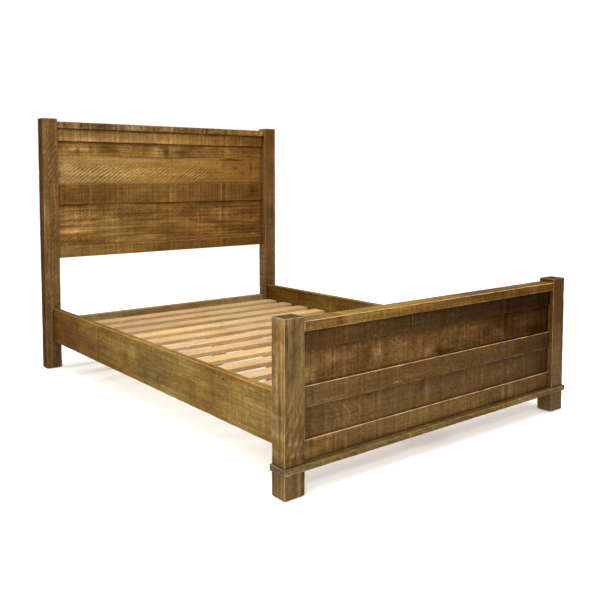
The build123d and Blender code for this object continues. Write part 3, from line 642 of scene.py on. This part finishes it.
# the wide mark along its top, under the middle rail, is painted shade
cross_board("footboard_lower_panel", 36, ((107, 82, 47), (109, 82, 46), (101, 75, 41),
                                          (97, 71, 38), (71, 45, 20)),
            low_z=top_of("footboard_bottom_rail") - tuck,
            high_z=bottom_of("footboard_middle_rail") + tuck, edge=1.4 * MM,
            saw=0.6, blotch=0.6, streaks=0.5, rings=0.85, tips=19.0, heart=244, wear=0.1,
            depth=-0.9, grit=1.4, sawn=((-534, 240, 110, 42, 1.0), (135, 235, 300, 45, 0.35)),
            shade_and_stain=((top_of("footboard_bottom_rail"), 2 * MM),), marks=(
                (-725, 240, 20, 50, -0.4), (-645, 245, 14, 45, -0.3), (-429, 287, 15, 9, -0.6),
                (-388, 281, 15, 12, -0.5), (-318, 267, 12, 30, -0.4), (-127, 275, 14, 20, -0.6),
                (-202, 245, 14, 22, 0.5), (-91, 235, 13, 46, 0.65), (-11, 255, 12, 6, 0.5),
                (140, 240, 10, 40, 0.35), (266, 245, 12, 30, 0.4), (336, 235, 14, 35, 0.5),
                (386, 235, 20, 12, 0.6), (447, 235, 30, 20, 0.4), (497, 250, 14, 30, 0.5),
                (-36, 235, 30, 40, -0.2), (0, 291, 1200, 7, -0.35), (708, 225, 30, 40, -0.4)))
# its edge facing up is rubbed to a bright colour: partly wear, partly a painted highlight on the
# ledge
cross_board("footboard_bottom_rail", 19, ((114, 87, 47), (112, 84, 46), (110, 82, 45),
                                          (103, 76, 41), (93, 66, 35)),
            saw=0.9, blotch=0.6, streaks=0.5, wear=0.85, bare=(192, 160, 114), depth=-0.65,
            grit=1.4, shade_and_stain=((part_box("band_front")[1].z, 4 * MM),), marks=(
                (-718, 168, 26, 15, -0.7), (450, 155, 80, 15, 0.3), (-150, 150, 300, 30, 0.1),
                (725, 150, 20, 40, -0.5)))

# ---- posts, glued up from staves; the glue lines show on their side faces. Marks on the front
# and fields of slanting saw marks are (x, z, ...), and marks on the staves' sides (y, z, ...).
# Each post's side faces are made lighter or darker than its front and tinted: painted light and shade
# of those faces.
post_looks = {
    "head_post_left": dict(
        tones=((106, 81, 50), (112, 82, 46), (127, 97, 55), (101, 74, 40)), sides=-1.1,
        side_tint=(1.0, 0.8, 0.42), hatch=0.8, lean=32, pitch=21 * MM, blotch=1.3, streaks=1.5,
        wear=0.35, fade=0.15, depth=-1.0, grit=1.6),
    "head_post_right": dict(
        tones=((92, 66, 36), (100, 72, 38), (108, 76, 40), (104, 70, 34)), hatch=0.4, lean=38,
        pitch=22 * MM, blotch=0.9, streaks=0.6, wear=0.5, sides=0.45, depth=-0.65),
    "foot_post_left": dict(
        tones=((109, 85, 54), (120, 94, 56), (122, 95, 56), (122, 95, 58)), sides=0.5,
        side_tint=(1.0, 1.02, 0.95), hatch=-1.3, lean=24, pitch=24 * MM, blotch=1.3, streaks=1.5,
        wear=0.5, bare=(176, 148, 104), depth=-0.95, grit=1.4),
    # its tones darken towards the top, with the footboard's dark right end: partly stain, partly
    # painted shade
    "foot_post_right": dict(
        tones=((112, 89, 56), (112, 85, 50), (98, 66, 29), (94, 61, 22)), hatch=0.4, lean=40,
        pitch=18 * MM, blotch=0.8, streaks=0.7, wear=0.55, bare=(158, 130, 92), sides=-0.05,
        side_tint=(1.0, 0.92, 0.85), grit=1.3),
}
post_marks = {
    "foot_post_left": (
        (-838, 560, 10, 34, -0.8), (-832, 520, 10, 22, -0.5), (-800, 500, 10, 44, -0.4),
        (-825, 400, 8, 40, -0.4), (-770, 560, 12, 40, 0.2), (-763, 450, 10, 90, 0.25),
        (-800, 235, 30, 15, -0.2), (-800, 137, 60, 12, -0.6), (-800, 155, 60, 4, 0.7),
        (-812, 190, 26, 6, 0.5), (-762, 75, 10, 16, -0.7)),
    "head_post_left": (
        (-800, 1080, 20, 20, -0.3), (-790, 850, 20, 40, -0.3), (-800, 770, 60, 70, -0.3),
        (-800, 525, 60, 60, 0.25)),
    "head_post_right": ((800, 860, 45, 50, -0.5), (810, 1380, 50, 60, -0.5)),
    "foot_post_right": ((800, 470, 40, 60, -0.2),),
}
post_sawn = {
    "foot_post_left": ((-800, 230, 70, 105, 1.0),),
    "head_post_left": ((-800, 1200, 60, 180, 1.0), (-800, 760, 50, 140, 0.7)),
}
stave_marks = {
    "foot_post_left": (
        (-1044, 320, 11, 400, -0.35), (-1063, 320, 4, 400, 0.6), (-1077, 340, 7, 160, -0.3),
        (-1093, 320, 5, 260, 0.5), (-1067, 335, 60, 55, -0.4), (-1067, 180, 60, 70, 0.45)),
    "head_post_right": ((1058, 1260, 40, 160, 0.4),),
}
for seed, (node, looks) in enumerate(post_looks.items(), start=51):
    low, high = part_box(node)
    deep = high.y - low.y
    staves = [(Y, low.y + share * deep) for share in (0.36, 0.7)]
    # the foot posts are darkened along the top of the band: painted shade where the band stands
    # proud, with some stain gathered there
    pooled_stain_and_shade = [(Z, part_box("band_front")[1].z, 3 * MM)] if "foot" in node else []
    piece = board("sawn_" + node, low, high, Z, edge=3.0 * MM, cross=8 * MM, seed=seed,
                  seams=staves, marks=post_marks[node], side_marks=stave_marks.get(node, ()),
                  sawn=post_sawn.get(node), shade_and_stain=pooled_stain_and_shade)
    looks = {"saw": 0.25, **looks}
    dress(piece, node, wood(node, Z, Y, (low.z, high.z), seed=seed, **looks))

# ---- side rails, smoother than the rest. Marks are (y, z, half width, half height, stops).
rail_marks = (
    (-350, 330, 160, 22, 0.25), (-150, 200, 130, 16, -0.3), (60, 275, 45, 45, 0.35),
    (130, 250, 14, 40, -0.4), (330, 340, 120, 14, -0.35), (420, 220, 150, 18, 0.25),
    (700, 300, 16, 40, -0.35), (-620, 240, 20, 50, -0.3), (-820, 300, 90, 30, 0.2))
# the tones darken and redden towards the head: partly stain, partly painted shade where the light
# falls off
rail_stain_and_shade = ((146, 115, 60), (141, 111, 56), (134, 106, 53), (127, 98, 45), (114, 81, 29),
              (97, 61, 15))
for seed, node in enumerate(("side_rail_left", "side_rail_right"), start=61):
    low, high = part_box(node)
    piece = board("sawn_" + node, low, high, Y, edge=2.0 * MM, cell=9 * MM, cross=12 * MM,
                  side_marks=rail_marks, seed=seed,
                  shade_and_stain=((Y, foot_back, 4 * MM), (Y, head_front, 8 * MM)))
    skin = wood(node, Y, X, (foot_back, head_front), rail_stain_and_shade, seed, saw=0.35, blotch=1.2,
                streaks=1.0, wear=0.6, bare=(188, 140, 72), fade=0.2, depth=-0.95, grit=1.4,
                knots=((-690, 322, 5), (-180, 215, 4), (350, 250, 5)))
    dress(piece, node, skin)


# ---------------------------------------------------------------- the band
band_low, band_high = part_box("band_front")


def notch_band(points):
    """Lets the band's back sit over the posts, and cuts its two ends to a mitre."""
    points = points.copy()
    share = np.clip((points[:, Y] - band_low.y) / (band_high.y - band_low.y), 0, 1)
    over_post = np.abs(points[:, X]) > post_inner
    depth = foot_front - band_low.y
    points[over_post, Y] = band_low.y + share[over_post] * depth
    at_end = np.abs(points[:, X]) > post_outer
    points[at_end, X] -= np.sign(points[at_end, X]) * (points[at_end, Y] - band_low.y)
    return points


def mitre_return(points):
    """Cuts a return's front end to meet the front strip's mitre."""
    points = points.copy()
    outer = post_outer + foot_front - band_low.y
    inset = np.clip(outer - np.abs(points[:, X]), 0, outer - post_outer)
    points[:, Y] += inset * np.exp(-(points[:, Y] - band_low.y) / (4 * MM))
    return points


piece = board("sawn_band_front", band_low, band_high, X, edge=1.2 * MM, cross=5 * MM,
              uneven=0.12 * MM, seed=71, shape=notch_band)
skin = wood("band_front", X, Y, (-post_outer, post_outer),
            ((125, 99, 59), (123, 96, 56), (119, 91, 51), (126, 100, 57), (113, 86, 46)), 71,
            saw=0.2, blotch=1.0, streaks=1.9, rings=0.5, tips=14.0, heart=80, wear=0.3,
            depth=-0.85, grit=1.4)
dress(piece, "band_front", skin)
for seed, node in enumerate(("band_return_left", "band_return_right"), start=72):
    low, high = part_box(node)
    piece = board("sawn_" + node, low, high, Y, edge=1.2 * MM, cell=5 * MM, cross=5 * MM,
                  uneven=0.12 * MM, seed=seed, shape=mitre_return)
    # their grey-brown tones, darker than the front's, are painted shade on the same moulding
    skin = wood(node, Y, X, (low.y, high.y), ((92, 84, 70), (96, 88, 72)), seed, saw=0.2,
                streaks=1.0, wear=0.3)
    dress(piece, node, skin)


def finish_cad(node, material):
    """Gives a CAD node that keeps its own shape a finished material in every slot."""
    for place in nodes[node].material_slots:
        place.link = "OBJECT"
        place.material = material


plain = dict(saw=0.0, blotch=0.5, streaks=0.6, rings=-0.35, wear=0.0, sheen=0.3, depth=-0.7)
for seed, node in enumerate(sorted(n for n in nodes if n[:-2] == "slat_"), start=101):
    rng = np.random.default_rng(seed)
    tone = np.array((196, 160, 108)) + rng.uniform(-12, 8)
    knots = [(rng.uniform(-700, 700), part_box(node)[0].y / MM + rng.uniform(20, 70), 7)]
    finish_cad(node, wood(node, X, Z, (-post_inner, post_inner), (tone, tone + 6), seed,
                          heart=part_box(node)[0].y / MM + rng.uniform(10, 80), knots=knots,
                          tips=rng.choice((-9, 9)), **plain))
for seed, (node, grain, face) in enumerate((
        ("ledger_left", Y, X), ("ledger_right", Y, X), ("centre_beam", Y, X),
        ("centre_leg_1", Z, Y), ("centre_leg_2", Z, Y), ("centre_leg_3", Z, Y)), start=121):
    low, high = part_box(node)
    finish_cad(node, wood(node, grain, face, (low[grain], high[grain]),
                          ((178, 142, 92), (184, 148, 98)), seed, tips=8.0, **plain))
plated = [n for n in nodes if any(
    word in n for word in ("brads", "screw", "plates", "bracket", "bolt", "nuts", "inserts"))]
for seed, node in enumerate(sorted(plated)):
    finish_cad(node, steel(node, seed))
finish_cad("post_glides", nylon("post_glides"))

# ---------------------------------------------------------------- floor, light and camera
floor_mesh = bpy.data.meshes.new("floor")
reach = 40.0
floor_mesh.from_pydata([(-reach, -reach, 0), (reach, -reach, 0), (reach, reach, 0),
                        (-reach, reach, 0)], [], [(0, 1, 2, 3)])
floor = bpy.data.objects.new("floor", floor_mesh)
bpy.context.scene.collection.objects.link(floor)
pale = Graph("pale_floor")
floor_mesh.materials.append(pale.finish(rgb(253, 253, 252), 0.8, **{"Specular IOR Level": 0.1}))

world = bpy.data.worlds.new("studio")
bpy.context.scene.world = world
world.use_nodes = True
world.node_tree.nodes["Background"].inputs["Color"].default_value = (1.0, 0.995, 0.985, 1.0)
world.node_tree.nodes["Background"].inputs["Strength"].default_value = 1.05
bpy.context.scene.view_settings.view_transform = "Standard"


def soft_box(name, place, target, size, power, tint=(1.0, 1.0, 1.0)):
    lamp = bpy.data.lights.new(name, "AREA")
    lamp.shape = "RECTANGLE"
    lamp.size, lamp.size_y = size
    lamp.energy = power
    lamp.color = tint
    holder = bpy.data.objects.new(name, lamp)
    holder.location = place
    holder.rotation_euler = (Vector(target) - Vector(place)).to_track_quat("-Z", "Y").to_euler()
    bpy.context.scene.collection.objects.link(holder)


soft_box("key_left", (-2.9, -3.0, 3.3), (0.0, -0.2, 0.5), (3.0, 3.0), 162, (1.0, 0.97, 0.92))
soft_box("overhead", (-0.2, 0.3, 4.2), (0.0, 0.1, 0.4), (4.0, 4.0), 225, (1.0, 0.98, 0.95))

# the viewpoint: from the left of the foot end, a little above the footboard
camera_place = (-2.3394, -2.9102, 1.0749)
yaw, pitch, roll = math.radians(35.45), math.radians(3.56), math.radians(-0.32)
ahead = Vector((math.sin(yaw) * math.cos(pitch), math.cos(yaw) * math.cos(pitch), -math.sin(pitch)))
right = Vector((math.cos(yaw), -math.sin(yaw), 0))
above = right.cross(ahead)
right, above = (right * math.cos(roll) + above * math.sin(roll),
                above * math.cos(roll) - right * math.sin(roll))
lens = bpy.data.cameras.new("camera")
lens.lens = 43.04
lens.sensor_width = 36.0
lens.shift_x = 0.1125
lens.shift_y = -0.1227
camera = bpy.data.objects.new("camera", lens)
camera.matrix_world = Matrix((
    (right.x, above.x, -ahead.x, camera_place[0]),
    (right.y, above.y, -ahead.y, camera_place[1]),
    (right.z, above.z, -ahead.z, camera_place[2]),
    (0, 0, 0, 1)))
bpy.context.scene.collection.objects.link(camera)
bpy.context.scene.camera = camera

bpy.context.view_layer.update()
